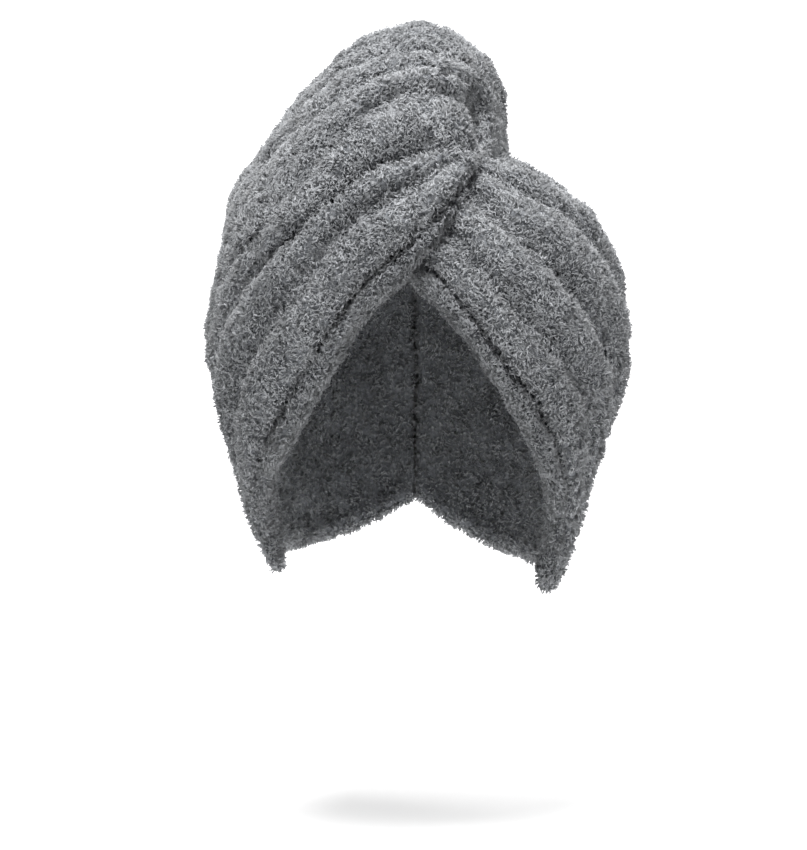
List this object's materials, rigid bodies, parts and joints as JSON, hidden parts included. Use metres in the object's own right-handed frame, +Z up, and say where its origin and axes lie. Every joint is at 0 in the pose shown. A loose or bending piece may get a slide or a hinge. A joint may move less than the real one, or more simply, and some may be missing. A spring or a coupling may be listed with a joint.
{
  "type": "hair turban towel",
  "caption": "Plush hair towel in its worn form: wrapped round the head, crossed over the forehead, its twisted tail laid over the crown and buttoned at the back.",
  "frame": {"origin": "top of the head inside the towel, on the head's middle line, where the towel sits", "axes": "+Z up along the head, -Y towards the face, -X the side on the left when seen from in front"},
  "size_m": [0.1962, 0.2434, 0.2605],
  "materials": {
    "plush": "deep plush pile",
    "hem": "short plush pile",
    "button": "matte"
  },
  "bodies": {
    "root": {"left_wrap": "plush", "right_wrap": "plush", "left_hem": "hem", "right_hem": "hem", "twisted_tail": "plush", "tail_end": "plush", "nape_button": "button"}
  },
  "joints": []
}
